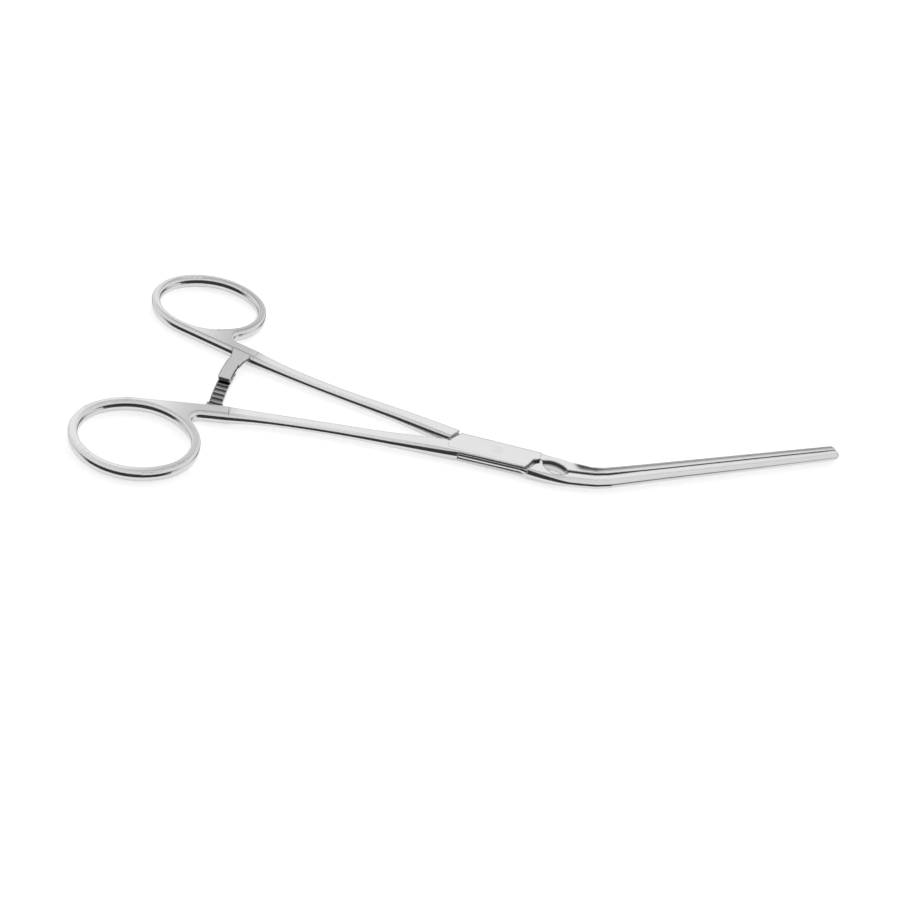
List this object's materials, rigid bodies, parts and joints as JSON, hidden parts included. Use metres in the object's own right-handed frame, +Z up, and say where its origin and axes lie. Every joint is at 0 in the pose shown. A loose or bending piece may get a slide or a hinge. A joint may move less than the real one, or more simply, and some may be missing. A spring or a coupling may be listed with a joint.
{
  "type": "vascular tissue forceps",
  "caption": "Ring-handled box-lock clamp with a ratchet and long slender jaws angled in the plane of the handles, for gripping vessels and delicate tissue.",
  "frame": {"origin": "pivot axis at the underside of the box lock", "axes": "+X from the finger rings to the jaws along the handles' middle line, +Y towards the handle whose ratchet arm lies on top, +Z up out of the plane in which the clamp opens"},
  "size_m": [0.1909, 0.0812, 0.0036],
  "materials": {
    "forged_steel": "satin",
    "pin_steel": "satin"
  },
  "bodies": {
    "box_body": {"box_half": "forged_steel", "pivot_pin": "pin_steel"},
    "tongue_body": {"tongue_half": "forged_steel"}
  },
  "joints": [
    {"name": "lock_pivot", "type": "hinge", "parent": "box_body", "child": "tongue_body", "pos_m": [0, 0, 0], "axis": [0, 0, -1], "range_deg": [0, 35]}
  ]
}
